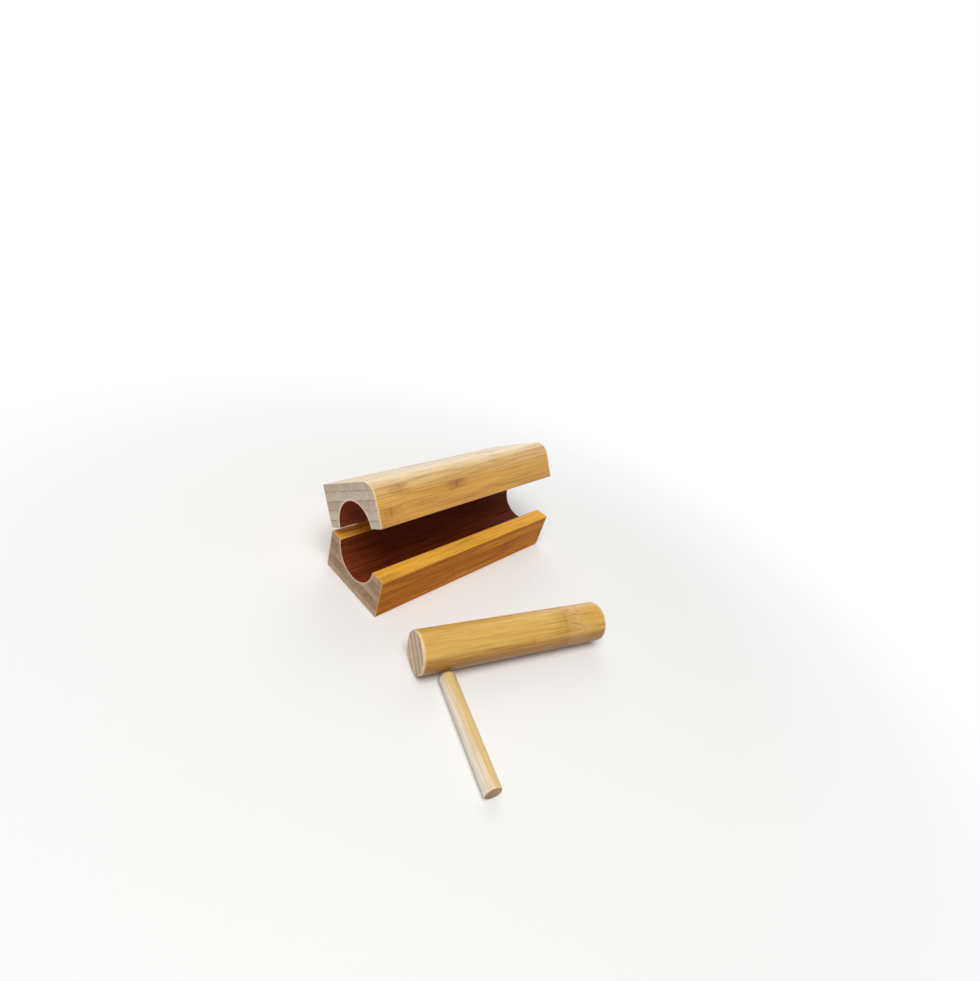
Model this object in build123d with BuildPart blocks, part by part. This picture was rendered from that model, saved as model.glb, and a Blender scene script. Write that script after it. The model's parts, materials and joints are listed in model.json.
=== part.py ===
from build123d import *
from math import asin, cos, radians, sin, sqrt
import os

# Bamboo sushi roller: a hinged mould of two halves with a round channel, a press dowel and a filling stick.
# The origin is the middle of the mould's base. X runs along the mould, Y from front to back, Z upwards.

# Mould
mould_length = 200.0
channel_radius = 21.0
side_wall = 13.0
roof_thickness = 14.0
front_rounding = 13.0
mouth_rounding = 1.2
edge_rounding = 0.8
parting_gap = 0.3
open_angle = 34.0

# Hinges, screwed on the back of the mould
hinge_inset = 42.0
leaf_width = 36.0
leaf_height = 19.0
leaf_thickness = 1.4
leaf_corner = 2.0
pin_radius = 1.5
pin_clearance = 0.05
barrel_wall = 1.4
barrel_clearance = 0.3
knuckle_gap = 0.3
pin_head_radius = 2.5
pin_head_height = 1.0
pin_head_rounding = 0.5

# Screws with a 90 degree countersunk head, flush with the leaves
screw_inset = 7.0
screw_drop = 11.5
screw_radius = 1.4
screw_head_radius = 2.7
screw_tip_radius = 0.3
screw_tip_height = 3.0
screw_tip_cover = 1.5
screw_clearance = 0.05
recess_length = 3.0
recess_width = 0.7
recess_depth = 0.8

# Press dowel, lying on the floor in front of the mould and turned away from it on the right
dowel_radius = 15.6
dowel_length = 158.5
dowel_end_rounding = 1.5
dowel_turn = 20.2
dowel_stand_off = 36.6
dowel_shift = -31.0

# Filling stick, lying nearly square to the dowel with its domed end towards it
stick_radius = 5.8
stick_length = 84.0
stick_dome_height = 4.0
stick_end_rounding = 0.6
stick_along = 19.7
stick_turn = 1.4
stick_gap = 0.4

# Mould and hinge faces, as depths and heights from the hinge axis
mould_depth = 2 * (channel_radius + side_wall)
half_height = channel_radius + roof_thickness
barrel_bore = pin_radius + pin_clearance
barrel_radius = barrel_bore + barrel_wall
hinge_x = mould_length / 2 - hinge_inset
hinge_y = mould_depth / 2 + barrel_radius + barrel_clearance
hinge_z = half_height + parting_gap / 2
back_face = mould_depth / 2 - hinge_y
front_face = back_face - mould_depth
channel_middle = (back_face + front_face) / 2
mating_face = parting_gap / 2
outer_face = mating_face + half_height

# Hinge and screw sizes that follow
leaf_face = back_face + leaf_thickness
knuckle_length = (leaf_width - 2 * knuckle_gap) / 3
knuckle_step = knuckle_length + knuckle_gap
notch_height = barrel_radius + barrel_clearance
screw_offset = leaf_width / 2 - screw_inset
screw_head_height = screw_head_radius - screw_radius
screw_length = leaf_thickness + side_wall - screw_tip_cover
shank_length = screw_length - screw_head_height - screw_tip_height

# The lower leaf has the outer knuckles of a hinge, the upper leaf has the middle one
lower_half = {"name": "lower", "angle": 0.0, "side": -1, "front": edge_rounding, "knuckles": (-1, 1)}
upper_half = {"name": "upper", "angle": open_angle, "side": 1, "front": front_rounding, "knuckles": (0,)}
hinge_places = {"left": -hinge_x, "right": hinge_x}


def across(half, x=0.0):
    """Section plane of a half at x, with the hinge axis as its origin."""
    turn = radians(half["angle"])
    return Plane(origin=(x, hinge_y, hinge_z), x_dir=(0, cos(turn), -sin(turn)), z_dir=(1, 0, 0))


def screw_places(half, depth, x):
    """Planes for the two screws of a half at one hinge, facing backwards at a depth from the hinge axis."""
    places = []
    for screw_x in (x - screw_offset, x + screw_offset):
        section = across(half, screw_x)
        spot = section.from_local_coords((depth, half["side"] * screw_drop, 0))
        places.append(Plane(origin=spot, x_dir=(1, 0, 0), z_dir=section.x_dir))
    return places


def mould_half(half):
    """Half of the mould: a block with the channel along its mating face and pilot holes in its back."""
    mating = half["side"] * mating_face
    outer = half["side"] * outer_face
    corners = (
        (front_face, mating, edge_rounding),
        (front_face, outer, half["front"]),
        (back_face, outer, edge_rounding),
        (back_face, mating, edge_rounding),
    )
    with BuildPart() as block:
        with BuildSketch(across(half)) as profile:
            with BuildLine():
                Polyline(*[(depth, height) for depth, height, rounding in corners], close=True)
            make_face()
            for depth, height, rounding in corners:
                fillet(profile.vertices().sort_by_distance((depth, height))[0], rounding)
            with Locations((channel_middle, mating)):
                Circle(channel_radius, mode=Mode.SUBTRACT)
            mouths = profile.vertices().sort_by_distance((channel_middle, mating))[:2]
            fillet(mouths, mouth_rounding)
        extrude(amount=mould_length / 2, both=True)
        fillet(block.faces().filter_by(Axis.X).edges(), edge_rounding)
        for x in hinge_places.values():
            with Locations(*screw_places(half, back_face, x)):
                Hole(screw_radius + screw_clearance, depth=screw_length - leaf_thickness + screw_clearance)
    return block


def hinge_leaf(half, x):
    """Leaf of a hinge: a plate on the back of the half, rolled into knuckles round the pin."""
    section = across(half, x)
    free_end = Align.MIN if half["side"] > 0 else Align.MAX
    with BuildPart() as leaf:
        with BuildSketch(section):
            with Locations((back_face, 0)):
                Rectangle(leaf_thickness, leaf_height, align=(Align.MIN, free_end))
        extrude(amount=leaf_width / 2, both=True)
        corner_edges = leaf.edges().filter_by(Axis(section.origin, section.x_dir))
        outwards = Axis(section.origin, section.y_dir * half["side"])
        fillet(corner_edges.group_by(outwards)[-1], leaf_corner)
        for step in (-1, 0, 1):
            knuckle_section = across(half, x + step * knuckle_step)
            if step in half["knuckles"]:
                with BuildSketch(knuckle_section):
                    Circle(barrel_radius)
                extrude(amount=knuckle_length / 2, both=True)
            else:
                with BuildSketch(knuckle_section):
                    with Locations((back_face, 0)):
                        Rectangle(leaf_thickness, notch_height, align=(Align.MIN, free_end))
                extrude(amount=knuckle_length / 2 + knuckle_gap, both=True, mode=Mode.SUBTRACT)
        with BuildSketch(section):
            Circle(barrel_bore)
        extrude(amount=leaf_width / 2, both=True, mode=Mode.SUBTRACT)
        with Locations(*screw_places(half, leaf_face, x)):
            CounterSinkHole(
                screw_radius + screw_clearance,
                screw_head_radius + screw_clearance,
                depth=leaf_thickness,
                counter_sink_angle=90,
            )
    return leaf


def hinge_pin(x):
    """Pin through the three knuckles of a hinge, headed at both ends."""
    with BuildPart() as pin:
        with BuildSketch(across(lower_half, x)):
            Circle(pin_radius)
        extrude(amount=leaf_width / 2, both=True)
        for end in (-1, 1):
            with BuildSketch(across(lower_half, x + end * leaf_width / 2)):
                Circle(pin_head_radius)
            extrude(amount=end * pin_head_height)
        heads = pin.edges().filter_by(GeomType.CIRCLE).sort_by(Axis.X)
        fillet([heads[0], heads[-1]], pin_head_rounding)
    return pin


def wood_screw(place):
    """Countersunk wood screw with a cross recess, its head flush with the plane it is placed on."""
    hanging = (Align.CENTER, Align.CENTER, Align.MAX)
    with BuildPart(place) as screw:
        Cone(screw_radius, screw_head_radius, screw_head_height, align=hanging)
        with Locations((0, 0, -screw_head_height)):
            Cylinder(screw_radius, shank_length, align=hanging)
        with Locations((0, 0, -screw_head_height - shank_length)):
            Cone(screw_tip_radius, screw_radius, screw_tip_height, align=hanging)
        with BuildSketch(place):
            Rectangle(recess_length, recess_width)
            Rectangle(recess_width, recess_length)
        extrude(amount=-recess_depth, mode=Mode.SUBTRACT)
    return screw


# Floor directions of the dowel, along it and square to it towards the front
dowel_along = Vector(cos(radians(dowel_turn)), -sin(radians(dowel_turn)), 0)
dowel_front = Vector(-sin(radians(dowel_turn)), -cos(radians(dowel_turn)), 0)
dowel_reach = dowel_length / 2 * sin(radians(dowel_turn)) + dowel_radius * cos(radians(dowel_turn))
dowel_centre = Vector(dowel_shift, -mould_depth / 2 - dowel_stand_off - dowel_reach, dowel_radius)


def press_dowel():
    """Thick dowel with flat ends and eased edges."""
    with BuildPart() as dowel:
        with BuildSketch(Plane(origin=dowel_centre, x_dir=dowel_front, z_dir=dowel_along)):
            Circle(dowel_radius)
        extrude(amount=dowel_length / 2, both=True)
        fillet(dowel.edges().filter_by(GeomType.CIRCLE), dowel_end_rounding)
    return dowel


def filling_stick():
    """Thin stick turned from a half profile: domed at the end by the dowel, flat at the other."""
    shaft = stick_length - stick_dome_height
    dome_radius = (stick_radius**2 + stick_dome_height**2) / (2 * stick_dome_height)
    half_turn = asin(stick_radius / dome_radius) / 2
    dome_middle = (-stick_dome_height + dome_radius * (1 - cos(half_turn)), dome_radius * sin(half_turn))
    dome_clear = sqrt((dowel_radius + dome_radius + stick_gap) ** 2 - (dowel_radius - stick_radius) ** 2)
    base_clear = dome_clear - (dome_radius - stick_dome_height)
    dome_base = dowel_centre + dowel_along * (stick_along - dowel_length / 2) + dowel_front * base_clear
    heading = radians(270 - dowel_turn - stick_turn)
    lengthwise = Plane(
        origin=(dome_base.X, dome_base.Y, stick_radius),
        x_dir=(cos(heading), sin(heading), 0),
        z_dir=(0, 0, 1),
    )
    with BuildPart() as stick:
        with BuildSketch(lengthwise) as profile:
            with BuildLine():
                ThreePointArc((-stick_dome_height, 0), dome_middle, (0, stick_radius))
                Polyline((0, stick_radius), (shaft, stick_radius), (shaft, 0), (-stick_dome_height, 0))
            make_face()
            fillet(profile.vertices().sort_by_distance((shaft, stick_radius))[0], stick_end_rounding)
        revolve(axis=Axis(lengthwise.origin, lengthwise.x_dir))
    return stick


def write(piece, name):
    """Labels a finished piece and writes it under its name."""
    piece.part.label = name
    export_step(piece.part, f"parts/{name}.step")


os.makedirs("parts", exist_ok=True)
for half in (lower_half, upper_half):
    write(mould_half(half), f"{half['name']}_mould")
for hand, x in hinge_places.items():
    write(hinge_pin(x), f"{hand}_hinge_pin")
    for half in (lower_half, upper_half):
        write(hinge_leaf(half, x), f"{hand}_hinge_{half['name']}_leaf")
        for number, place in enumerate(screw_places(half, leaf_face, x), 1):
            write(wood_screw(place), f"{hand}_hinge_{half['name']}_screw_{number}")
write(press_dowel(), "press_dowel")
write(filling_stick(), "filling_stick")
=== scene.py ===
import json
from math import asin, cos, pi, radians, sin

import bmesh
import bpy
from mathutils import Euler, Matrix, Quaternion, Vector


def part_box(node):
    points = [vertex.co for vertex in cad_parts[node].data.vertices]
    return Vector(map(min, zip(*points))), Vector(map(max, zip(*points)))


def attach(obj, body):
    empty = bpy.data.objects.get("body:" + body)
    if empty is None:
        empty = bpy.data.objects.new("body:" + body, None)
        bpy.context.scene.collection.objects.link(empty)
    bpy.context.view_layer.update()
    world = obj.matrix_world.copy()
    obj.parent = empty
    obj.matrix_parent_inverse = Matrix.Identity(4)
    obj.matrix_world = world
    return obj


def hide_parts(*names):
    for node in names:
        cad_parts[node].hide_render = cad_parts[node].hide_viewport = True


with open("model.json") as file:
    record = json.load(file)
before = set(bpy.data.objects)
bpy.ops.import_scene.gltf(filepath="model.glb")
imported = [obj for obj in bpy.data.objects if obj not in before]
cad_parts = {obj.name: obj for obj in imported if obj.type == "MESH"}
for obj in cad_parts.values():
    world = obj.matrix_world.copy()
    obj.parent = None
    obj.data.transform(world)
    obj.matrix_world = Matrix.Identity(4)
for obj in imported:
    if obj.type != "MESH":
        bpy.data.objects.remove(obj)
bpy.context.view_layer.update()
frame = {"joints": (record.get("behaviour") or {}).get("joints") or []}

# Bamboo sushi roller: the hinged mould, its brass hinges, the press dowel and the filling stick.
# Lengths are in metres and colours are linear. Patterns in the bamboo are worked out in millimetres.

# Camera at the photograph's place, for an image of 980 by 981
camera_place = Vector((-0.2957, -0.23859, 0.29353))
camera_aim = Vector((0.12604, 0.06068, 0.0))
camera_roll = radians(17.81)
camera_lens = 18.776
camera_near = 0.01

# Mould, with depths and heights from the hinge axis
mould_low, mould_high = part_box("lower_mould")
hinge_joint = next(joint for joint in frame["joints"] if joint["name"] == "mould_hinge")
hinge_axis = Vector(hinge_joint["pos_m"])
open_angle = radians(-hinge_joint["range_deg"][0])
mould_length = mould_high.x - mould_low.x
back_face = mould_high.y - hinge_axis.y
front_face = mould_low.y - hinge_axis.y
mating_face = hinge_axis.z - mould_high.z
outer_face = hinge_axis.z - mould_low.z
channel_middle = (back_face + front_face) / 2
channel_radius = 0.021
front_rounding = 0.013
edge_rounding = 0.0008

# Hinges
leaf_low, leaf_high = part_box("left_hinge_lower_leaf")
leaf_width = leaf_high.x - leaf_low.x
leaf_height = hinge_axis.z - leaf_low.z
leaf_thickness = 0.0014
leaf_corner = 0.002
leaf_edge = 0.0002
barrel_radius = leaf_high.y - hinge_axis.y
knuckle_gap = 0.0003
knuckle_length = (leaf_width - 2 * knuckle_gap) / 3
notch_height = 0.00325
hole_cell_ratio = 1.4
pin_low, pin_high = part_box("left_hinge_pin")
pin_radius = 0.0015
pin_head_radius = pin_high.z - hinge_axis.z
pin_head_height = (pin_high.x - pin_low.x - leaf_width) / 2
pin_head_rounding = 0.0005

# Screws
screw_low, screw_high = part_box("left_hinge_lower_screw_1")
screw_head_radius = (screw_high.x - screw_low.x) / 2
screw_length = screw_high.y - screw_low.y
screw_drop = hinge_axis.z - (screw_low.z + screw_high.z) / 2
screw_offset = (leaf_low.x + leaf_high.x) / 2 - (screw_low.x + screw_high.x) / 2
screw_radius = 0.0014
screw_hole_clearance = 0.00008
screw_tip_radius = 0.0003
screw_tip_height = 0.003
recess_length = 0.003
recess_width = 0.0007
recess_depth = 0.0008

# Press dowel
dowel_low, dowel_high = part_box("press_dowel")
dowel_radius = (dowel_high.z - dowel_low.z) / 2
dowel_length = 0.1585
dowel_end_rounding = 0.0015
dowel_turn = radians(-20.2)

# Filling stick, with its origin at the flat end
stick_low, stick_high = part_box("filling_stick")
stick_radius = (stick_high.z - stick_low.z) / 2
stick_length = 0.084
stick_dome_height = 0.004
stick_end_rounding = 0.0006
stick_turn = radians(68.4)
stick_core = stick_radius - stick_end_rounding
stick_end = stick_low + Vector((
    stick_core * sin(stick_turn) + stick_end_rounding * (1 - cos(stick_turn)),
    stick_core * cos(stick_turn) + stick_end_rounding * (1 - sin(stick_turn)),
    stick_radius,
))

# Steps that the round stretches are drawn in, and the angles in degrees of a knuckle's roll
front_steps = 15
channel_steps = 64
turned_steps = 96
fastener_steps = 48
dome_steps = 12
end_bend_steps = 6
hole_quarter_steps = 6
leaf_corner_steps = 6
roll_step = 12
roll_turn = 305
closing_turn = 60


def placed(location, turn=(0, 0, 0)):
    """Place of a piece: where its own origin lies and how it is turned."""
    return {"location": Vector(location), "turn": Euler(turn)}


lower_place = placed(hinge_axis)
upper_place = placed(hinge_axis, (-open_angle, 0, 0))
dowel_place = placed((dowel_low + dowel_high) / 2, (0, 0, dowel_turn))
stick_place = placed(stick_end, (0, 0, stick_turn))
halves = {
    "lower": {"side": -1, "place": lower_place, "body": "mould_base", "front": 0.0},
    "upper": {"side": 1, "place": upper_place, "body": "mould_lid", "front": front_rounding},
}
hinge_x = {hand: sum(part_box(f"{hand}_hinge_pin"), Vector()).x / 2 for hand in ("left", "right")}


def add_camera():
    """Camera of the photograph, looking at a point of the floor and rolled to the photograph's upright."""
    data = bpy.data.cameras.new("photo_camera")
    data.lens = camera_lens
    data.clip_start = camera_near
    camera = bpy.data.objects.new("photo_camera", data)
    look = (camera_aim - camera_place).to_track_quat("-Z", "Y")
    camera.location = camera_place
    camera.rotation_euler = (look @ Quaternion((0, 0, 1), camera_roll)).to_euler()
    bpy.context.scene.collection.objects.link(camera)
    bpy.context.scene.camera = camera


add_camera()
bpy.context.scene.view_settings.view_transform = "Standard"


class Steps:
    """Adds nodes to a tree one step at a time. A value is a socket to link, or a plain number or colour."""

    def __init__(self, tree):
        self.tree = tree

    def feed(self, socket, value):
        if isinstance(value, bpy.types.NodeSocket):
            self.tree.links.new(value, socket)
        else:
            socket.default_value = value

    def add(self, kind, inputs=None, **settings):
        node = self.tree.nodes.new(kind)
        for name, value in settings.items():
            setattr(node, name, value)
        for key, value in (inputs or {}).items():
            self.feed(node.inputs[key], value)
        return node

    def math(self, operation, *values):
        return self.add("ShaderNodeMath", dict(enumerate(values)), operation=operation).outputs["Value"]

    def vector(self, operation, *values):
        node = self.add("ShaderNodeVectorMath", dict(enumerate(values)), operation=operation)
        return node.outputs["Vector"]

    def measure(self, operation, *values):
        node = self.add("ShaderNodeVectorMath", dict(enumerate(values)), operation=operation)
        return node.outputs["Value"]

    def millimetres(self, vector):
        """Place in millimetres, from one in metres."""
        return self.vector("MULTIPLY", vector, (1000.0, 1000.0, 1000.0))

    def turned(self, vector, turn):
        """Place turned about the origin."""
        return self.add("ShaderNodeMapping", {"Vector": vector, "Rotation": turn}).outputs["Vector"]

    def split(self, vector):
        return self.add("ShaderNodeSeparateXYZ", {"Vector": vector}).outputs

    def join(self, x=0.0, y=0.0, z=0.0):
        return self.add("ShaderNodeCombineXYZ", {"X": x, "Y": y, "Z": z}).outputs["Vector"]

    def fade(self, value, start, end, first=0.0, last=1.0):
        """Smooth change from first to last as the value goes from start to end."""
        inputs = {"Value": value, "From Min": start, "From Max": end, "To Min": first, "To Max": last}
        return self.add("ShaderNodeMapRange", inputs, interpolation_type="SMOOTHSTEP").outputs["Result"]

    def noise(self, vector, stretch, detail=2.0, roughness=0.5):
        """Noise with its own scale along each axis."""
        inputs = {"Vector": self.vector("MULTIPLY", vector, stretch), "Scale": 1.0}
        inputs.update({"Detail": detail, "Roughness": roughness})
        return self.add("ShaderNodeTexNoise", inputs).outputs

    def draw(self, seed):
        """Random value from 0 to 1, the same for the same seed."""
        return self.add("ShaderNodeTexWhiteNoise", {"W": seed}, noise_dimensions="1D").outputs["Value"]

    def blend(self, amount, first, second):
        """Colour between two colours."""
        node = self.add("ShaderNodeMix", {0: amount, 6: first, 7: second}, data_type="RGBA")
        return node.outputs[2]

    def ramp(self, value, stops):
        """Colour read from stops of (position, colour)."""
        node = self.add("ShaderNodeValToRGB", {"Fac": value})
        elements = node.color_ramp.elements
        while len(elements) < len(stops):
            elements.new(1.0)
        for element, (position, colour) in zip(elements, stops):
            element.position = position
            element.color = colour
        return node.outputs["Color"]


FLOAT = "NodeSocketFloat"
VECTOR = "NodeSocketVector"


def start_tree(name, kind, inputs, outputs):
    """New node group, with named inputs of (socket kind, value) and named outputs."""
    tree = bpy.data.node_groups.new(name, kind)
    for label, (socket_kind, value) in inputs.items():
        socket = tree.interface.new_socket(label, in_out="INPUT", socket_type=socket_kind)
        if value is not None:
            socket.default_value = value
    for label, socket_kind in outputs.items():
        tree.interface.new_socket(label, in_out="OUTPUT", socket_type=socket_kind)
    steps = Steps(tree)
    return tree, steps, steps.add("NodeGroupInput").outputs, steps.add("NodeGroupOutput").inputs


# Marks that the bamboo pattern gives at each point
strip_marks = ("Tone", "Layer", "Skin", "Fibre", "Bundle", "Joint", "Knot", "Knot Line", "Halo")

# Scales of the noises in the bamboo, per millimetre: along the fibres, then across them both ways
grain_scales = {
    "drift": (0.008, 0.003, 0.003),
    "broken joint": (0.02, 0.2, 0.2),
    "broad streak": (0.016, 0.5, 0.5),
    "fine streak": (0.03, 1.7, 1.7),
    "fleck": (0.026, 0.62, 0.62),
    "bundle": (0.006, 1.2, 1.2),
    "knot dots": (0.4, 0.9, 0.9),
    "knot speckle": (0.15, 0.62, 0.62),
    "slow tone": (0.012, 0.08, 0.08),
}

# Levels of a noise or a draw between which its mark changes, then the mark's strength at each of the two
grain_levels = {
    "broken joint": (0.36, 0.62, 0.12, 1.0),
    "broad streak": (0.42, 0.66, 0.0, 0.6),
    "fine streak": (0.46, 0.68, 0.0, 0.55),
    "fleck": (0.54, 0.7, 0.0, 0.6),
    "bundle": (0.12, 0.45, 1.0, 0.0),
    "knot strength": (0.1, 0.85, 0.04, 1.0),
    "knot dots": (0.42, 0.56, 0.0, 1.0),
    "knot stain": (0.34, 0.56, 0.6, 1.0),
    "knot dashes": (0.53, 0.62, 0.0, 0.5),
    "slow tone": (0.3, 0.7, 0.0, 0.5),
}

# The same across a strip, from its core at 0 to its skin at 1, and along the flank beside a node
skin_levels = (0.4, 0.95, 0.0, 1.0)
bundle_skin_levels = (0.1, 0.95, 0.25, 1.0)
flank_levels = (0.45, 1.0, 1.0, 0.0)

# Strengths of the joints between columns, of a knot's stain at its strip's edge and of a strip's own tone
column_seam_depth = 0.3
edge_stain = 0.5
tone_spread = 0.5

# Distances in millimetres over which a mark fades, and the reach of the fibres' drift and of a knot's bend
fade_reach = {
    "row seam": (0.1, 0.55),
    "column seam": (0.1, 0.4),
    "knot line": (0.4, 1.7),
    "knot stain": (4.0, 14.0),
    "strip edge": (0.0, 1.2),
    "flank": (1.0, 4.0),
}
drift_reach = 1.6
knot_bend = 5.0

# How far apart in the noises the grain of two strips is taken, in millimetres, and the step between row seeds
grain_scatter = (6300.0, 70.0, 70.0)
row_seed_step = 17.0


def bamboo_strips():
    """Split bamboo glued into a block, at any point in it.

    Fibres run along X and strips are stacked along Z.
    """
    tree, steps, given, result = start_tree(
        "bamboo_strips",
        "ShaderNodeTree",
        {
            "Place": (VECTOR, None),
            "Strip Height": (FLOAT, 6.0),
            "Strip Width": (FLOAT, 20.0),
            "Row Shift": (FLOAT, 0.0),
            "Seed": (FLOAT, 1.0),
            "Layer Seed": (FLOAT, 1.0),
            "Node Spacing": (FLOAT, 154.0),
            "Node Scatter": (FLOAT, 1.0),
            "Node Shift": (FLOAT, 0.0),
            "Node Length": (FLOAT, 12.0),
            "Node Line": (FLOAT, 0.8),
            "Node Stain": (FLOAT, 0.95),
        },
        dict.fromkeys(strip_marks, FLOAT),
    )
    place = given["Place"]
    drift = steps.noise(place, grain_scales["drift"], detail=1.0)["Color"]
    drift = steps.vector("SUBTRACT", drift, (0.5, 0.5, 0.5))
    waver = steps.vector("MULTIPLY", drift, (0.0, drift_reach, drift_reach))
    x, y, z = steps.split(steps.vector("ADD", place, waver))

    # Rows of strips, each row shifted sideways, with a tone and a place for its nodes drawn for every strip
    row_place = steps.math("DIVIDE", steps.math("ADD", z, given["Row Shift"]), given["Strip Height"])
    row = steps.math("FLOOR", row_place)
    row_seed = steps.math("ADD", row, steps.math("MULTIPLY", given["Seed"], row_seed_step))
    row_draw = steps.draw(row_seed)
    layer = steps.draw(steps.math("ADD", row, given["Layer Seed"]))
    column_place = steps.math("ADD", steps.math("DIVIDE", y, given["Strip Width"]), row_draw)
    strip = steps.join(row, steps.math("FLOOR", column_place), given["Seed"])
    draws = steps.add("ShaderNodeTexWhiteNoise", {"Vector": strip}).outputs["Color"]
    tone_draw, node_draw, _ = steps.split(draws)

    # Glue joints between strips, broken here and there
    def edge_distance(position, size):
        part = steps.math("FRACT", position)
        nearest = steps.math("MINIMUM", part, steps.math("SUBTRACT", 1.0, part))
        return steps.math("MULTIPLY", nearest, size)

    row_edge = edge_distance(row_place, given["Strip Height"])
    column_edge = edge_distance(column_place, given["Strip Width"])
    row_seam = steps.fade(row_edge, *fade_reach["row seam"], 1.0, 0.0)
    column_seam = steps.fade(column_edge, *fade_reach["column seam"], column_seam_depth, 0.0)
    broken = steps.noise(place, grain_scales["broken joint"], detail=3.0)["Fac"]
    broken = steps.fade(broken, *grain_levels["broken joint"])
    joint = steps.math("MULTIPLY", steps.math("MAXIMUM", row_seam, column_seam), broken)

    # Each strip is denser and darker towards the skin of the cane
    across_strip = steps.math("FRACT", row_place)
    skin = steps.fade(across_strip, *skin_levels)

    # Fibres: broad streaks, hairlines, darker flecks, and the bundles that show as dots on a cut end
    fibre_place = steps.vector("ADD", place, steps.vector("MULTIPLY", draws, grain_scatter))
    broad = steps.noise(fibre_place, grain_scales["broad streak"], detail=3.0, roughness=0.62)["Fac"]
    fine = steps.noise(fibre_place, grain_scales["fine streak"], detail=2.0, roughness=0.6)["Fac"]
    fleck = steps.noise(fibre_place, grain_scales["fleck"], detail=1.0)["Fac"]
    broad_streak = steps.fade(broad, *grain_levels["broad streak"])
    fine_streak = steps.fade(fine, *grain_levels["fine streak"])
    fibre = steps.math("ADD", broad_streak, fine_streak)
    fibre = steps.math("ADD", fibre, steps.fade(fleck, *grain_levels["fleck"]))
    bundle_place = steps.vector("MULTIPLY", fibre_place, grain_scales["bundle"])
    bundle_gap = steps.add("ShaderNodeTexVoronoi", {"Vector": bundle_place, "Scale": 1.0}).outputs["Distance"]
    bundle = steps.fade(bundle_gap, *grain_levels["bundle"])
    bundle = steps.math("MULTIPLY", bundle, steps.fade(across_strip, *bundle_skin_levels))

    # Bamboo nodes: broken dark lines across the strip in a brown stain, with short dashes to one side of them
    lengths = steps.math("DIVIDE", x, given["Node Spacing"])
    lengths = steps.math("ADD", lengths, steps.math("MULTIPLY", node_draw, given["Node Scatter"]))
    lengths = steps.math("ADD", lengths, given["Node Shift"])
    order = steps.math("FLOOR", lengths)
    node = {"Vector": strip, "W": order}
    strength_draw = steps.add("ShaderNodeTexWhiteNoise", node, noise_dimensions="4D").outputs["Value"]
    strength = steps.fade(strength_draw, *grain_levels["knot strength"])
    past_node = steps.math("SUBTRACT", steps.math("FRACT", lengths), 0.5)
    off_node = steps.math("MULTIPLY", past_node, given["Node Spacing"])
    bend = steps.math("MULTIPLY", steps.math("SUBTRACT", broad, 0.5), knot_bend)
    off_node = steps.math("ADD", off_node, bend)
    apart = steps.math("ABSOLUTE", off_node)
    dots = steps.noise(place, grain_scales["knot dots"], detail=1.0)["Fac"]
    dots = steps.fade(dots, *grain_levels["knot dots"])
    line = steps.math("MULTIPLY", steps.fade(apart, *fade_reach["knot line"], 1.0, 0.0), dots)
    line = steps.math("MULTIPLY", line, given["Node Line"])
    speckle = steps.noise(place, grain_scales["knot speckle"], detail=1.0)["Fac"]
    in_strip = steps.fade(row_edge, *fade_reach["strip edge"], edge_stain, 1.0)
    oval = steps.math("MULTIPLY", steps.fade(apart, *fade_reach["knot stain"], 1.0, 0.0), in_strip)
    stain = steps.math("MULTIPLY", oval, steps.fade(speckle, *grain_levels["knot stain"]))
    stain = steps.math("MULTIPLY", stain, given["Node Stain"])
    start = steps.fade(off_node, *fade_reach["flank"])
    stop = steps.fade(steps.math("DIVIDE", off_node, given["Node Length"]), *flank_levels)
    flank = steps.math("MULTIPLY", start, stop)
    dashes = steps.math("MULTIPLY", flank, steps.fade(speckle, *grain_levels["knot dashes"]))
    knot = steps.math("MULTIPLY", steps.math("MAXIMUM", stain, dashes), strength)
    knot_line = steps.math("MULTIPLY", line, strength)
    halo = steps.math("MULTIPLY", flank, strength)

    # Tone of the strip, changing slowly along it
    slow = steps.noise(fibre_place, grain_scales["slow tone"])["Fac"]
    slow = steps.fade(slow, *grain_levels["slow tone"])
    tone = steps.math("ADD", steps.math("MULTIPLY", tone_draw, tone_spread), slow)
    marks = (tone, layer, skin, fibre, bundle, joint, knot, knot_line, halo)
    for name, mark in zip(strip_marks, marks):
        steps.feed(result[name], mark)
    return tree


# Noise of the drawn lines along the metal, per millimetre, and the levels between which a stain shows
line_scale_along = 0.12
stain_levels = (0.45, 0.72)


def metal_surface():
    """Worked metal: fine drawn lines along X and darker stains."""
    tree, steps, given, result = start_tree(
        "metal_surface",
        "ShaderNodeTree",
        {"Place": (VECTOR, None), "Line Density": (FLOAT, 9.0), "Stain Size": (FLOAT, 6.0)},
        {"Lines": FLOAT, "Stain": FLOAT},
    )
    place = given["Place"]
    across = steps.join(line_scale_along, given["Line Density"], given["Line Density"])
    lines = steps.noise(place, across, detail=3.0, roughness=0.6)["Fac"]
    patches = steps.vector("DIVIDE", place, steps.join(*[given["Stain Size"]] * 3))
    stain = steps.noise(patches, (1.0, 1.0, 1.0), detail=4.0, roughness=0.65)["Fac"]
    steps.feed(result["Lines"], lines)
    steps.feed(result["Stain"], steps.fade(stain, *stain_levels))
    return tree


strips_group = bamboo_strips()
metal_group = metal_surface()


def tint(red, green, blue):
    """Opaque linear colour."""
    return (red, green, blue, 1.0)


def start_material(name):
    """New material, its steps and its shader."""
    material = bpy.data.materials.new(name)
    material.use_nodes = True
    return material, Steps(material.node_tree), material.node_tree.nodes["Principled BSDF"]


def use_group(steps, tree, inputs):
    """Shared group placed in a material with its own values."""
    node = steps.add("ShaderNodeGroup", node_tree=tree)
    for name, value in inputs.items():
        steps.feed(node.inputs[name], value)
    return node.outputs


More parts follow.
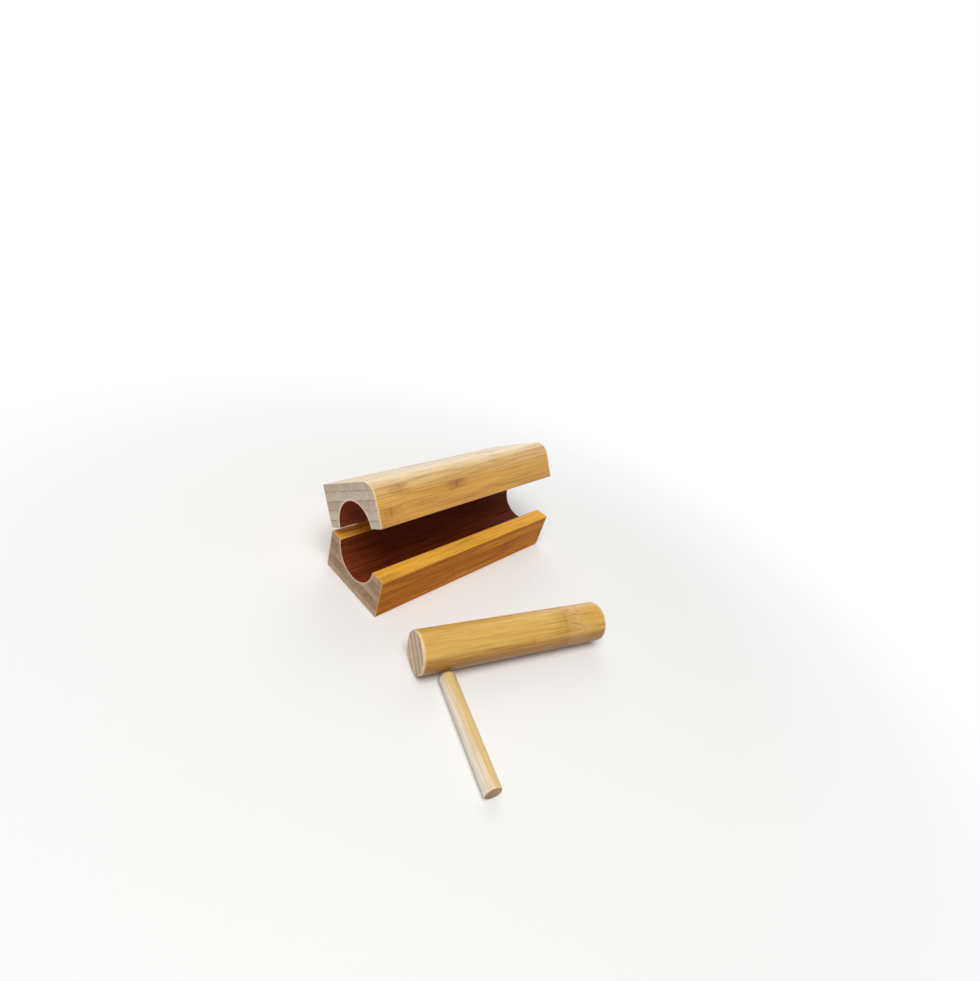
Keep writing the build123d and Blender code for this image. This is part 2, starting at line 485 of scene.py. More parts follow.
# Positions of a strip's three tones, how strongly each mark shows on the split faces and on the cut ends, and
# the strength of the painted edge highlights
tone_stops = (0.1, 0.5, 0.9)
halo_depth = 0.08
knot_depth = 0.95
knot_line_depth = 0.8
edge_highlight_depth = 0.75
end_bundle_depth = 0.35
end_fibre_depth = 0.25
end_tone_levels = (0.15, 0.8, 0.2, 0.0)
end_layer_levels = (0.1, 0.9)

# How squarely a face looks along the fibres where it turns into a cut end, and where its painted edge
# highlight stops
cut_facing = (0.6, 0.92)
edge_highlight_facing = (0.75, 0.97)

# Distances past the channel's wall over which its darker colour and the painted highlight on its lip fade
channel_colour_reach = (0.0001, 0.0007)
lip_highlight_reach = (0.0005, 0.0026)

# Gloss and relief of the bamboo
fibre_roughness = 0.12
end_roughness = 0.2
channel_roughness = 0.12
coat_roughness = 0.26
joint_relief = 1.5
relief_strength = 0.35
relief_depth = 0.0001


def bamboo(name, place, finish):
    """Bamboo of one piece, with its fibres along the piece's own X axis."""
    material, steps, shader = start_material(name)
    source = steps.add("ShaderNodeTexCoord").outputs
    inputs = {"Vector": source["Object"], "Location": place["location"], "Rotation": place["turn"]}
    own = steps.add("ShaderNodeMapping", inputs, vector_type="TEXTURE").outputs["Vector"]
    rolled = steps.millimetres(steps.turned(own, (finish["roll"], 0, 0)))
    strips = use_group(steps, strips_group, {"Place": rolled, **finish["strips"]})

    # Split faces
    colour = steps.ramp(strips["Tone"], list(zip(tone_stops, finish["tones"])))
    # Painted light and shade on one side of each piece, blended in across a turned axis; on the stick it is
    # partly a paler strip of bamboo
    side = finish["side"]
    leaning = steps.millimetres(steps.turned(own, (side["roll"], side["slant"], 0)))
    lean = steps.math("MULTIPLY", strips["Fibre"], side["streaks"])
    lean = steps.math("ADD", steps.split(leaning)["Z"], lean)
    painted_light_side = steps.fade(lean, side["from"], side["to"])
    colour = steps.blend(painted_light_side, colour, side["colour"])
    fibre_depth = steps.fade(painted_light_side, 0.0, 1.0, finish["fibre_depth"], side["fibre_depth"])
    colour = steps.blend(steps.math("MULTIPLY", strips["Fibre"], fibre_depth), colour, finish["fibre"])
    colour = steps.blend(steps.math("MULTIPLY", strips["Halo"], halo_depth), colour, finish["rim"])
    colour = steps.blend(steps.math("MULTIPLY", strips["Knot"], knot_depth), colour, finish["knot"])
    knot_line = steps.math("MULTIPLY", strips["Knot Line"], knot_line_depth)
    colour = steps.blend(knot_line, colour, finish["knot_line"])

    # Cut ends
    axis = place["turn"].to_matrix() @ Vector((1, 0, 0))
    facing = steps.math("ABSOLUTE", steps.measure("DOT_PRODUCT", source["Normal"], axis))
    cut = steps.fade(facing, *cut_facing)
    dark = steps.fade(strips["Tone"], *end_tone_levels)
    layers = steps.fade(strips["Layer"], *end_layer_levels, finish["end_layers"], 0.0)
    dark = steps.math("ADD", dark, layers)
    end_depths = {"Bundle": end_bundle_depth, "Fibre": end_fibre_depth, "Skin": finish["end_skin"]}
    for mark, depth in end_depths.items():
        dark = steps.math("ADD", dark, steps.math("MULTIPLY", strips[mark], depth))
    cut_colour = steps.blend(dark, finish["end"], finish["end_dark"])
    colour = steps.blend(cut, colour, cut_colour)
    joint_depth = steps.fade(cut, 0.0, 1.0, finish["joint_depth"], finish["end_joint"])
    colour = steps.blend(steps.math("MULTIPLY", strips["Joint"], joint_depth), colour, finish["joint"])

    # Painted highlight along the eased rims at both ends
    from_middle = steps.math("ABSOLUTE", steps.math("SUBTRACT", steps.split(own)["X"], finish["middle_x"]))
    edge_highlight_start = finish["half_length"] - finish["edge_highlight_width"]
    rim = steps.fade(from_middle, edge_highlight_start, finish["half_length"], 0.0, edge_highlight_depth)
    rim = steps.math("MULTIPLY", rim, steps.fade(facing, *edge_highlight_facing, 1.0, 0.0))
    colour = steps.blend(rim, colour, finish["rim"])
    rough = finish["roughness"]
    rough = steps.fade(strips["Fibre"], 0.0, 1.0, rough, rough + fibre_roughness)
    rough = steps.math("ADD", rough, steps.math("MULTIPLY", cut, end_roughness))

    # Darker, redder colour along the channel wall, and a painted highlight on its lip at the cut ends
    glaze = steps.math("MULTIPLY", steps.math("SUBTRACT", 1.0, cut), finish["coat"])
    if "channel" in finish:
        centre = (0.0, channel_middle, finish["mating"])
        across = steps.vector("MULTIPLY", steps.vector("SUBTRACT", own, centre), (0.0, 1.0, 1.0))
        radial = steps.measure("LENGTH", across)
        past_wall = steps.math("SUBTRACT", radial, channel_radius)
        inside = steps.fade(past_wall, *channel_colour_reach, 1.0, 0.0)
        # Painted highlight: a pale band round the channel's mouth on the cut ends
        lip_highlight = steps.fade(past_wall, *lip_highlight_reach, edge_highlight_depth, 0.0)
        colour = steps.blend(steps.math("MULTIPLY", lip_highlight, cut), colour, finish["lip_highlight"])
        inside = steps.math("MULTIPLY", inside, steps.math("SUBTRACT", 1.0, cut))
        shade = steps.math("MULTIPLY", steps.math("ADD", strips["Fibre"], strips["Tone"]), 0.5)
        channel_colour = steps.blend(shade, finish["channel"], finish["channel_dark"])
        colour = steps.blend(inside, colour, channel_colour)
        rough = steps.math("ADD", rough, steps.math("MULTIPLY", inside, channel_roughness))
        glaze = steps.math("MULTIPLY", glaze, steps.math("SUBTRACT", 1.0, inside))

    steps.feed(shader.inputs["Base Color"], colour)
    steps.feed(shader.inputs["Roughness"], rough)
    shader.inputs["Specular IOR Level"].default_value = finish["specular"]
    steps.feed(shader.inputs["Coat Weight"], glaze)
    shader.inputs["Coat Roughness"].default_value = coat_roughness
    relief = steps.math("ADD", strips["Fibre"], steps.math("MULTIPLY", strips["Joint"], joint_relief))
    relief = steps.math("ADD", relief, steps.math("MAXIMUM", strips["Knot"], strips["Knot Line"]))
    inputs = {"Height": relief, "Strength": relief_strength, "Distance": relief_depth}
    bump = steps.add("ShaderNodeBump", inputs, invert=True)
    steps.feed(shader.inputs["Normal"], bump.outputs["Normal"])
    return material


upper_finish = {
    "roll": 0.0,
    "strips": {
        "Strip Height": 7.4, "Strip Width": 20.6, "Row Shift": 1.0, "Node Spacing": 154.4,
        "Seed": 876045.25, "Layer Seed": 164.0,
    },
    "tones": (tint(0.60, 0.275, 0.034), tint(0.68, 0.34, 0.048), tint(0.75, 0.40, 0.066)),
    "fibre": tint(0.36, 0.15, 0.026),
    "fibre_depth": 0.5,
    # Painted highlight: the upper half turns pale towards its top and front rounding, standing in for glare
    "side": {
        "colour": tint(0.72, 0.55, 0.28), "fibre_depth": 0.42,
        "roll": radians(-8), "slant": 0.0, "from": 24.0, "to": 45.0, "streaks": -5.0,
    },
    "knot": tint(0.36, 0.135, 0.014),
    "knot_line": tint(0.17, 0.05, 0.006),
    "joint": tint(0.20, 0.105, 0.045),
    "joint_depth": 0.3,
    # Pale colour of the painted edge highlights at the ends, also used for the pale halos beside the nodes
    "rim": tint(0.84, 0.66, 0.40),
    "edge_highlight_width": 0.002,
    "end": tint(0.76, 0.615, 0.49),
    "end_dark": tint(0.38, 0.275, 0.20),
    "end_layers": 0.45,
    "end_skin": 0.1,
    "end_joint": 0.7,
    "lip_highlight": tint(0.90, 0.74, 0.60),
    "channel": tint(0.26, 0.05, 0.014),
    "channel_dark": tint(0.08, 0.012, 0.004),
    "mating": mating_face,
    "middle_x": 0.0,
    "half_length": mould_length / 2,
    "roughness": 0.4,
    "specular": 0.2,
    "coat": 0.65,
}
lower_finish = dict(
    upper_finish,
    strips={
        "Strip Height": 7.4, "Strip Width": 20.6, "Row Shift": 5.95, "Node Spacing": 154.4,
        "Seed": 534513.75, "Layer Seed": 1165.0,
    },
    # Painted shade: the lower half's tones, fibres and end colours are a darker, more orange copy of the
    # upper half's bamboo
    tones=(tint(0.47, 0.140, 0.006), tint(0.60, 0.205, 0.011), tint(0.73, 0.285, 0.022)),
    fibre=tint(0.18, 0.047, 0.004),
    fibre_depth=0.56,
    # Painted light: the strip along the mating face turns paler and yellower, standing in for the light
    # falling on it from above
    side={
        "colour": tint(0.90, 0.455, 0.06), "fibre_depth": 0.38,
        "roll": 0.0, "slant": 0.0, "from": -2.0, "to": -1.2, "streaks": 0.4,
    },
    rim=tint(0.74, 0.42, 0.12),
    edge_highlight_width=0.0014,
    end=tint(0.60, 0.42, 0.285),
    end_dark=tint(0.28, 0.17, 0.10),
    lip_highlight=tint(0.78, 0.58, 0.38),
    mating=-mating_face,
    specular=0.05,
    coat=0.0,
)
dowel_finish = {
    "roll": radians(149),
    "strips": {
        "Strip Height": 7.2, "Strip Width": 200.0, "Row Shift": 3.2, "Seed": 1423.0,
        "Node Spacing": 400.0, "Node Scatter": 0.0, "Node Shift": 0.4,
        "Node Length": 26.0, "Node Line": 0.35, "Node Stain": 0.3,
    },
    "tones": (tint(0.64, 0.36, 0.066), tint(0.72, 0.42, 0.088), tint(0.79, 0.50, 0.13)),
    "fibre": tint(0.42, 0.19, 0.032),
    "fibre_depth": 0.42,
    # Painted shade: the dowel turns dark brown along its lower side
    "side": {
        "colour": tint(0.32, 0.125, 0.016), "fibre_depth": 0.42,
        "roll": radians(233), "slant": 0.0, "from": 4.0, "to": 16.0, "streaks": 4.0,
    },
    "knot": tint(0.30, 0.13, 0.03),
    "knot_line": tint(0.16, 0.065, 0.015),
    "joint": tint(0.20, 0.11, 0.05),
    "joint_depth": 0.08,
    "rim": tint(0.88, 0.74, 0.50),
    "edge_highlight_width": 0.003,
    "end": tint(0.80, 0.63, 0.43),
    "end_dark": tint(0.36, 0.235, 0.13),
    "end_layers": 0.15,
    "end_skin": 0.42,
    "end_joint": 0.3,
    "middle_x": 0.0,
    "half_length": dowel_length / 2,
    "roughness": 0.4,
    "specular": 0.2,
    "coat": 0.35,
}
stick_finish = dict(
    dowel_finish,
    strips={"Strip Height": 14.0, "Strip Width": 30.0, "Row Shift": 7.0, "Seed": 2.0, "Node Spacing": 400.0},
    tones=(tint(0.65, 0.43, 0.14), tint(0.70, 0.48, 0.18), tint(0.75, 0.54, 0.23)),
    fibre=tint(0.50, 0.29, 0.09),
    fibre_depth=0.35,
    # One side of the stick turns pale cream: partly a paler strip of bamboo, partly a painted highlight
    side={
        "colour": tint(0.90, 0.82, 0.70), "fibre_depth": 0.35,
        "roll": radians(115.5), "slant": radians(2.6), "from": -5.1, "to": 1.7, "streaks": -2.4,
    },
    joint_depth=0.0,
    edge_highlight_width=0.001,
    end=tint(0.48, 0.32, 0.17),
    end_dark=tint(0.24, 0.14, 0.07),
    middle_x=stick_length / 2,
    half_length=stick_length / 2,
)


# How strongly stains, drawn lines and turned rings show on the hinge metals, and the painted shade down in a
# screw's recess
metal_stain_depth = 0.5
metal_line_depth = 0.25
metal_line_levels = (0.2, 0.8)
metal_line_roughness = 0.14
metal_stain_roughness = 0.12
metal_line_strength = 0.15
metal_line_relief = 0.00004
screw_stain_depth = 0.4
screw_stain_size = 2.0
screw_recess_shade = (-0.9, -0.1, 0.75, 0.0)
screw_ring_scale = 14.0
screw_ring_levels = (0.3, 0.7)
screw_ring_roughness = (0.2, 0.36)
screw_ring_strength = 0.2
screw_ring_relief = 0.00003


def metal(name, bright, dull, roughness, line_density):
    """Worked metal with drawn lines along X and faint tarnish."""
    material, steps, shader = start_material(name)
    place = steps.millimetres(steps.add("ShaderNodeTexCoord").outputs["Object"])
    surface = use_group(steps, metal_group, {"Place": place, "Line Density": line_density})
    colour = steps.blend(steps.math("MULTIPLY", surface["Stain"], metal_stain_depth), bright, dull)
    colour = steps.blend(steps.math("MULTIPLY", surface["Lines"], metal_line_depth), colour, dull)
    rough = steps.fade(surface["Lines"], *metal_line_levels, roughness, roughness + metal_line_roughness)
    rough = steps.math("ADD", rough, steps.math("MULTIPLY", surface["Stain"], metal_stain_roughness))
    steps.feed(shader.inputs["Base Color"], colour)
    steps.feed(shader.inputs["Roughness"], rough)
    shader.inputs["Metallic"].default_value = 1.0
    inputs = {"Height": surface["Lines"], "Strength": metal_line_strength, "Distance": metal_line_relief}
    bump = steps.add("ShaderNodeBump", inputs)
    steps.feed(shader.inputs["Normal"], bump.outputs["Normal"])
    return material


def screw_metal(name, bright, dull):
    """Turned brass: fine rings round each screw's own axis, with painted shade down in its recess."""
    material, steps, shader = start_material(name)
    own = steps.add("ShaderNodeAttribute", attribute_name="screw_place").outputs["Vector"]
    place = steps.millimetres(own)
    radial = steps.measure("LENGTH", steps.vector("MULTIPLY", place, (1.0, 1.0, 0.0)))
    rings = steps.noise(steps.join(radial), (screw_ring_scale, 1.0, 1.0), detail=2.0)["Fac"]
    surface = use_group(steps, metal_group, {"Place": place, "Stain Size": screw_stain_size})
    # Painted shade down in the recess, joined with the tarnish stains
    painted_recess_shade = steps.fade(steps.split(place)["Z"], *screw_recess_shade)
    shade_and_stain = steps.math("MAXIMUM", painted_recess_shade, steps.math("MULTIPLY", surface["Stain"], screw_stain_depth))
    colour = steps.blend(shade_and_stain, bright, dull)
    steps.feed(shader.inputs["Base Color"], colour)
    rough = steps.fade(rings, *screw_ring_levels, *screw_ring_roughness)
    steps.feed(shader.inputs["Roughness"], rough)
    shader.inputs["Metallic"].default_value = 1.0
    inputs = {"Height": rings, "Strength": screw_ring_strength, "Distance": screw_ring_relief}
    bump = steps.add("ShaderNodeBump", inputs)
    steps.feed(shader.inputs["Normal"], bump.outputs["Normal"])
    return material


sharp_angle = radians(35)
merge_distance = 1e-7


def mesh_from(name, form):
    """Plain mesh from a bmesh, with doubles merged, faces turned outwards and sharp edges kept sharp."""
    bmesh.ops.remove_doubles(form, verts=form.verts, dist=merge_distance)
    bmesh.ops.recalc_face_normals(form, faces=form.faces)
    for face in form.faces:
        face.smooth = True
    mesh = bpy.data.meshes.new(name)
    form.to_mesh(mesh)
    form.free()
    mesh.set_sharp_from_angle(angle=sharp_angle)
    return mesh


def arc(middle, radius, start, end, count):
    """Points of an arc in a section, with angles in degrees."""
    angles = [radians(start + (end - start) * step / count) for step in range(count + 1)]
    return [(middle[0] + radius * cos(angle), middle[1] + radius * sin(angle)) for angle in angles]


def mould_mesh(name, half):
    """Block with the channel along its mating face: a section drawn out along X."""
    front = [(front_face, outer_face)]
    if half["front"]:
        middle = (front_face + half["front"], outer_face - half["front"])
        front = arc(middle, half["front"], 180, 90, front_steps)
    channel = arc((channel_middle, mating_face), channel_radius, 0, 180, channel_steps)
    section = [(front_face, mating_face), *front, (back_face, outer_face), (back_face, mating_face), *channel]
    form = bmesh.new()
    ends = []
    for x in (-mould_length / 2, mould_length / 2):
        ends.append([form.verts.new((x, depth, half["side"] * height)) for depth, height in section])
        form.faces.new(ends[-1])
    for index in range(len(section)):
        form.faces.new((ends[0][index - 1], ends[0][index], ends[1][index], ends[1][index - 1]))
    return mesh_from(name, form)


def turned_mesh(name, outline, count=turned_steps):
    """Turned piece: points of (along X, radius), from the middle of one end to the middle of the other."""
    form = bmesh.new()
    rings = []
    for along, radius in outline:
        angles = [2 * pi * step / count for step in range(count if radius else 1)]
        rings.append([form.verts.new((along, radius * cos(angle), radius * sin(angle))) for angle in angles])
    for first, second in zip(rings, rings[1:]):
        for step in range(count):
            corners = [first[step % len(first)], first[(step + 1) % len(first)]]
            corners += [second[(step + 1) % len(second)], second[step % len(second)]]
            form.faces.new(list(dict.fromkeys(corners)))
    return mesh_from(name, form)


def eased_end(along, radius, rounding, inwards):
    """Outline of a flat end with a rounded edge, from its middle to its side, with a ring by each bend."""
    support = rounding / 4
    side = along + inwards * rounding
    flat = radius - rounding
    turns = [pi / 2 * step / end_bend_steps for step in range(end_bend_steps + 1)]
    bend = [(side - inwards * rounding * cos(turn), flat + rounding * sin(turn)) for turn in turns]
    return [(along, 0.0), (along, flat - support), *bend, (side + inwards * support, radius)]


def domed_end(along, radius, height, inwards):
    """Outline of a spherical cap, from its middle to its side, with a ring by the bend."""
    support = radius / 10
    sphere = (radius**2 + height**2) / (2 * height)
    turns = [asin(radius / sphere) * step / dome_steps for step in range(dome_steps + 1)]
    dome = [(along + inwards * sphere * (1 - cos(turn)), sphere * sin(turn)) for turn in turns]
    return [*dome, (along + inwards * (height + support), radius)]


def leaf_mesh(name, half):
    """Middle surface of a hinge leaf: a plate with two screw holes and tabs rolled round the pin."""
    plate_depth = back_face + leaf_thickness / 2
    roll_radius = barrel_radius - leaf_thickness / 2
    hole_radius = screw_head_radius + screw_hole_clearance
    hole_cell = hole_radius * hole_cell_ratio
    middle_tab = half["side"] > 0
    tab_edge = knuckle_length / 2 + (0 if middle_tab else knuckle_gap)
    form = bmesh.new()
    made = {}

    def point(x, depth, height):
        """Corner at a place, made once and shared by the faces that meet there."""
        key = (round(x, 7), round(depth, 7), round(height, 7))
        if key not in made:
            made[key] = form.verts.new((x, depth, half["side"] * height))
        return made[key]

    def holed_cell(middle_x, middle_height):
        """Square cell round a screw hole, in four faces."""
        middle = (middle_x, middle_height)
        sides = ((1, -1), (1, 1), (-1, 1), (-1, -1))
        corners = [(middle_x + hole_cell * across, middle_height + hole_cell * up) for across, up in sides]
        for quarter, (first, second) in enumerate(zip(corners, corners[1:] + corners[:1])):
            turn = 90 * quarter
            rim = arc(middle, hole_radius, turn + 45, turn - 45, hole_quarter_steps)
            form.faces.new([point(x, plate_depth, height) for x, height in (first, second, *rim)])

    holes = [(side * screw_offset, screw_drop) for side in (-1, 1)]
    columns = {side * edge for side in (-1, 1) for edge in (leaf_width / 2, tab_edge)}
    columns |= {x + side * hole_cell for x, height in holes for side in (-1, 1)}
    columns = sorted(columns)
    rows = [notch_height, screw_drop - hole_cell, screw_drop + hole_cell, leaf_height]
    for left, right in zip(columns, columns[1:]):
        for low, high in zip(rows, rows[1:]):
            inside = [hole for hole in holes if left < hole[0] < right and low < hole[1] < high]
            if inside:
                holed_cell(*inside[0])
            else:
                corners = ((left, low), (right, low), (right, high), (left, high))
                form.faces.new([point(x, plate_depth, height) for x, height in corners])

    # The tabs run up to the hinge axis and round the pin, closing in on it over the first sixth of the turn
    path = [(plate_depth, notch_height), (plate_depth, 0.0)]
    for angle in range(roll_step, roll_turn + 1, roll_step):
        easing = max(0.0, 1 - angle / closing_turn) ** 2
        radius = roll_radius + (-plate_depth - roll_radius) * easing
        path.append((-radius * cos(radians(angle)), -radius * sin(radians(angle))))
    for left, right in zip(columns, columns[1:]):
        in_middle = abs(left + right) / 2 < tab_edge
        if in_middle != middle_tab:
            continue
        for (depth, height), (next_depth, next_height) in zip(path, path[1:]):
            corners = ((left, depth, height), (right, depth, height), (right, next_depth, next_height))
            corners += ((left, next_depth, next_height),)
            form.faces.new([point(*corner) for corner in corners])

    outer_corners = [point(side * leaf_width / 2, plate_depth, leaf_height) for side in (-1, 1)]
    bmesh.ops.bevel(
        form, geom=outer_corners, affect="VERTICES",
        offset=leaf_corner, segments=leaf_corner_steps, profile=0.5,
    )
    return mesh_from(name, form)


def bevelled(piece, width, segments):
    """Rounds the sharp edges of a piece and keeps its flats flat."""
    bevel = piece.modifiers.new("eased_edges", "BEVEL")
    bevel.width = width
    bevel.segments = segments
    bevel.limit_method = "ANGLE"
    bevel.angle_limit = sharp_angle
    bevel.harden_normals = True


def thickened(piece, thickness):
    """Gives a middle surface its sheet thickness, half to each side."""
    sheet = piece.modifiers.new("sheet_thickness", "SOLIDIFY")
    sheet.thickness = thickness
    sheet.offset = 0.0
    sheet.use_even_offset = True


def finished(mesh, place, material, body, slot, *nodes):
    """Piece put in its place, with its finish, the body it rides on and the solids it stands for."""
    mesh.transform(Matrix.LocRotScale(place["location"], place["turn"], None))
    if material is not None:
        mesh.materials.append(material)
    piece = bpy.data.objects.new(mesh.name, mesh)
    bpy.context.scene.collection.objects.link(piece)
    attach(piece, body)
    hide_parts(*nodes)
    return piece


def wood_screws():
    """Countersunk wood screws with a cross recess, one on each point, turned home to different angles."""
    tree, steps, given, result = start_tree(
        "wood_screws",
        "GeometryNodeTree",
        {
            "Points": ("NodeSocketGeometry", None),
            "Head Radius": (FLOAT, screw_head_radius),
            "Shank Radius": (FLOAT, screw_radius),
            "Length": (FLOAT, screw_length),
            "Tip Radius": (FLOAT, screw_tip_radius),
            "Tip Height": (FLOAT, screw_tip_height),
            "Recess Length": (FLOAT, recess_length),
            "Recess Width": (FLOAT, recess_width),
            "Recess Depth": (FLOAT, recess_depth),
            "Turn": ("NodeSocketRotation", None),
            "Seed": ("NodeSocketInt", 1),
            "Finish": ("NodeSocketMaterial", None),
        },
        {"Screws": "NodeSocketGeometry"},
    )
    head_height = steps.math("SUBTRACT", given["Head Radius"], given["Shank Radius"])
    shank_length = steps.math("SUBTRACT", given["Length"], given["Tip Height"])
    shank_length = steps.math("SUBTRACT", shank_length, head_height)

    # Turned body: a rod of three stages, shaped into the tip, the shank and the head
    inputs = {"Vertices": fastener_steps, "Side Segments": 3, "Radius": 1.0, "Depth": 1.0}
    rod = steps.add("GeometryNodeMeshCylinder", inputs).outputs["Mesh"]
    position = steps.add("GeometryNodeInputPosition").outputs["Position"]
    x, y, z = steps.split(position)
    rise = steps.math("MULTIPLY_ADD", z, 3.0, 1.5)
    stages = []
    for start in (0.0, 1.0, 2.0):
        stage = steps.add("ShaderNodeClamp", {"Value": steps.math("SUBTRACT", rise, start)})
        stages.append(stage.outputs["Result"])
    tip, shank, head = stages
    flare = steps.math("SUBTRACT", given["Shank Radius"], given["Tip Radius"])
    radius = steps.math("MULTIPLY_ADD", tip, flare, given["Tip Radius"])
    radius = steps.math("MULTIPLY_ADD", head, head_height, radius)
    height = steps.math("MULTIPLY", given["Length"], -1.0)
    for stage, length in ((tip, given["Tip Height"]), (shank, shank_length), (head, head_height)):
        height = steps.math("MULTIPLY_ADD", stage, length, height)
    place = steps.join(steps.math("MULTIPLY", x, radius), steps.math("MULTIPLY", y, radius), height)
    body = steps.add("GeometryNodeSetPosition", {"Geometry": rod, "Position": place}).outputs["Geometry"]

    def bar(along_x, along_y):
        """One bar of the cross that is cut out of the head, half of it above the head."""
        size = steps.join(along_x, along_y, steps.math("MULTIPLY", given["Recess Depth"], 2.0))
        return steps.add("GeometryNodeMeshCube", {"Size": size}).outputs["Mesh"]

    cross = steps.add("GeometryNodeMeshBoolean", {"Mesh 1": body}, solver="EXACT")
    steps.feed(cross.inputs["Mesh 2"], bar(given["Recess Length"], given["Recess Width"]))
    steps.feed(cross.inputs["Mesh 2"], bar(given["Recess Width"], given["Recess Length"]))
    inputs = {"Geometry": cross.outputs["Mesh"], "Name": "screw_place", "Value": position}
    marked = steps.add("GeometryNodeStoreNamedAttribute", inputs, data_type="FLOAT_VECTOR")
    inputs = {"Points": given["Points"], "Instance": marked.outputs["Geometry"], "Rotation": given["Turn"]}
    screws = steps.add("GeometryNodeInstanceOnPoints", inputs).outputs["Instances"]
    draw = steps.add("FunctionNodeRandomValue", {"Seed": given["Seed"]}, data_type="FLOAT_VECTOR")
    draw.inputs["Max"].default_value = (0.0, 0.0, pi)
    inputs = {"Instances": screws, "Rotation": draw.outputs["Value"], "Local Space": True}
    turned = steps.add("GeometryNodeRotateInstances", inputs).outputs["Instances"]
    real = steps.add("GeometryNodeRealizeInstances", {"Geometry": turned}).outputs["Geometry"]
    inputs = {"Geometry": real, "Material": given["Finish"]}
    steps.feed(result["Screws"], steps.add("GeometryNodeSetMaterial", inputs).outputs["Geometry"])
    return tree


screws_tree = wood_screws()


def screw_mesh(name, points, turn, seed, material):
    """Plain mesh of the screws on some points."""
    holder_mesh = bpy.data.meshes.new("screw_points")
    holder_mesh.from_pydata(points, [], [])
    holder = bpy.data.objects.new("screw_points", holder_mesh)
    bpy.context.scene.collection.objects.link(holder)
    modifier = holder.modifiers.new("wood_screws", "NODES")
    modifier.node_group = screws_tree
    values = {"Turn": turn, "Seed": seed, "Finish": material}
    for item in screws_tree.interface.items_tree:
        if item.in_out == "INPUT" and item.name in values:
            modifier[item.identifier] = values[item.name]
    evaluated = holder.evaluated_get(bpy.context.evaluated_depsgraph_get())
    mesh = bpy.data.meshes.new_from_object(evaluated)
    mesh.name = name
    bpy.data.objects.remove(holder)
    return mesh


# The two halves of the mould
bamboos = {
    "lower": bamboo("lower_mould_bamboo", lower_place, lower_finish),
    "upper": bamboo("upper_mould_bamboo", upper_place, upper_finish),
}
for name, half in halves.items():
    mesh = mould_mesh(f"{name}_mould_block", half)
    block = finished(mesh, half["place"], bamboos[name], half["body"], "mould_bamboo", f"{name}_mould")
    bevelled(block, edge_rounding, segments=3)

# The press dowel and the filling stick
dowel_outline = eased_end(-dowel_length / 2, dowel_radius, dowel_end_rounding, 1)
dowel_outline += reversed(eased_end(dowel_length / 2, dowel_radius, dowel_end_rounding, -1))
dowel_bamboo = bamboo("dowel_bamboo", dowel_place, dowel_finish)
dowel_mesh = turned_mesh("turned_press_dowel", dowel_outline)
finished(dowel_mesh, dowel_place, dowel_bamboo, "dowel", "dowel_bamboo", "press_dowel")
stick_outline = eased_end(0.0, stick_radius, stick_end_rounding, 1)
stick_outline += reversed(domed_end(stick_length, stick_radius, stick_dome_height, -1))
stick_bamboo = bamboo("stick_bamboo", stick_place, stick_finish)
stick_mesh = turned_mesh("turned_filling_stick", stick_outline)
finished(stick_mesh, stick_place, stick_bamboo, "stick", "stick_bamboo", "filling_stick")

# The hinges: leaves, pins and screws
leaf_brass = metal(
    "leaf_brass", bright=tint(0.78, 0.56, 0.25), dull=tint(0.45, 0.28, 0.10),
    roughness=0.26, line_density=9.0,
)
pin_steel = metal(
    "pin_steel", bright=tint(0.52, 0.51, 0.49), dull=tint(0.28, 0.27, 0.26),
    roughness=0.28, line_density=14.0,
)
screw_brass = screw_metal("screw_brass", bright=tint(0.80, 0.60, 0.29), dull=tint(0.30, 0.18, 0.07))
pin_half = leaf_width / 2
pin_outline = eased_end(-pin_half - pin_head_height, pin_head_radius, pin_head_rounding, 1)
pin_outline += [(-pin_half, pin_head_radius), (-pin_half, pin_radius), (pin_half, pin_radius)]
pin_outline += [(pin_half, pin_head_radius)]
pin_outline += reversed(eased_end(pin_half + pin_head_height, pin_head_radius, pin_head_rounding, -1))
for hand, x in hinge_x.items():
    place = placed(hinge_axis + Vector((x, 0, 0)))
    mesh = turned_mesh(f"{hand}_hinge_pin_turned", pin_outline, fastener_steps)
    finished(mesh, place, pin_steel, "mould_base", "pin_steel", f"{hand}_hinge_pin")
    for name, half in halves.items():
        place = placed(hinge_axis + Vector((x, 0, 0)), half["place"]["turn"])
        mesh = leaf_mesh(f"{hand}_{name}_leaf_rolled", half)
        node = f"{hand}_hinge_{name}_leaf"
        leaf = finished(mesh, place, leaf_brass, half["body"], "hinge_brass", node)
        thickened(leaf, leaf_thickness)
        bevelled(leaf, leaf_edge, segments=2)

# The screws go in square to the back of the mould
into_back = (-pi / 2, 0, 0)
for seed, (name, half) in enumerate(halves.items(), 1):
    points = [
        (x + side * screw_offset, back_face + leaf_thickness, half["side"] * screw_drop)
        for x in hinge_x.values() for side in (-1, 1)
    ]
    nodes = [f"{hand}_hinge_{name}_screw_{number}" for hand in hinge_x for number in (1, 2)]
    mesh = screw_mesh(f"{name}_hinge_screws", points, into_back, seed, screw_brass)
    finished(mesh, half["place"], None, half["body"], "screw_brass", *nodes)


# Floor, room and lamps
object_middle = (-0.02, -0.06, 0.03)
floor_radius = 12.0
floor_colour = tint(0.89, 0.89, 0.88)
floor_roughness = 0.7
white = tint(1, 1, 1)
white_from = 0.16
white_to = 0.5
room_level = 0.24
lamps = {
    "top_lamp": {"place": (-0.4, -0.32, 1.25), "width": 0.8, "height": 0.8, "watts": 13.5},
    "back_lamp": {"place": (0.70, 0.90, 0.70), "width": 1.5, "height": 1.6, "watts": 6.5},
}


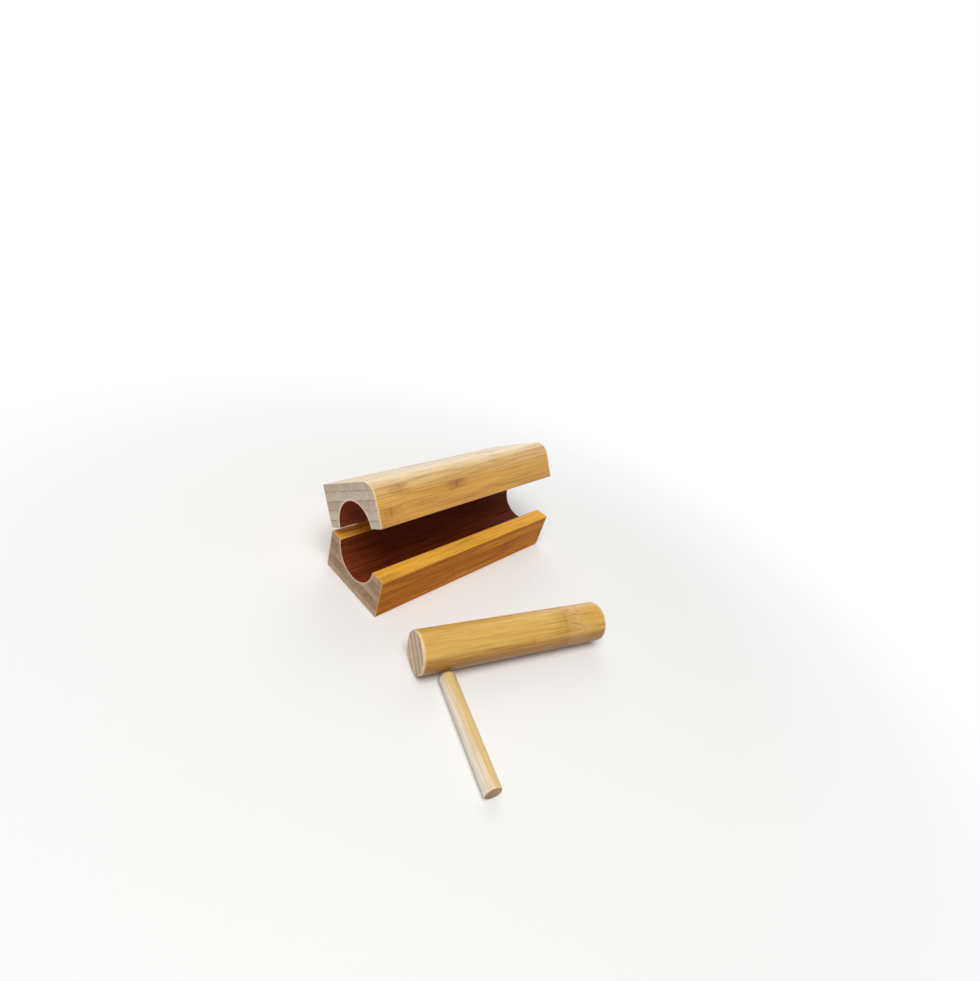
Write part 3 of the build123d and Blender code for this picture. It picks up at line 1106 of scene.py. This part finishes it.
def seen_rays(steps):
    """One for the rays that show the background: to the camera, in a reflection or through a clear piece."""
    rays = steps.add("ShaderNodeLightPath").outputs
    seen = steps.math("MAXIMUM", rays["Is Camera Ray"], rays["Is Glossy Ray"])
    return steps.math("MAXIMUM", seen, rays["Is Transmission Ray"])


def add_floor():
    """Plain pale floor that turns white away from the object, for the camera and for reflections."""
    material, steps, shader = start_material("pale_floor")
    shader.inputs["Base Color"].default_value = floor_colour
    shader.inputs["Roughness"].default_value = floor_roughness
    place = steps.add("ShaderNodeTexCoord").outputs["Object"]
    far = steps.fade(steps.measure("DISTANCE", place, object_middle), white_from, white_to)
    seen = seen_rays(steps)
    glow = steps.add("ShaderNodeEmission", {"Color": white, "Strength": 1.0}).outputs["Emission"]
    inputs = {0: steps.math("MULTIPLY", far, seen), 1: shader.outputs["BSDF"], 2: glow}
    mixed = steps.add("ShaderNodeMixShader", inputs).outputs["Shader"]
    steps.feed(material.node_tree.nodes["Material Output"].inputs["Surface"], mixed)
    form = bmesh.new()
    bmesh.ops.create_circle(form, cap_ends=True, radius=floor_radius, segments=96)
    floor = bpy.data.objects.new("floor", mesh_from("floor", form))
    floor.data.materials.append(material)
    bpy.context.scene.collection.objects.link(floor)


def add_world():
    """Even room light, seen as white by the camera and in reflections."""
    world = bpy.data.worlds.new("soft_room")
    world.use_nodes = True
    bpy.context.scene.world = world
    steps = Steps(world.node_tree)
    seen = seen_rays(steps)
    background = world.node_tree.nodes["Background"]
    background.inputs["Color"].default_value = white
    steps.feed(background.inputs["Strength"], steps.fade(seen, 0.0, 1.0, room_level, 1.0))


def add_lamp(name, place, width, height, watts):
    """Soft box that shines from a place towards the object."""
    data = bpy.data.lights.new(name, "AREA")
    data.shape = "RECTANGLE"
    data.size = width
    data.size_y = height
    data.energy = watts
    lamp = bpy.data.objects.new(name, data)
    lamp.location = place
    lamp.rotation_euler = (Vector(object_middle) - Vector(place)).to_track_quat("-Z", "Y").to_euler()
    lamp.visible_camera = False
    bpy.context.scene.collection.objects.link(lamp)


add_floor()
add_world()
for name, lamp in lamps.items():
    add_lamp(name, **lamp)
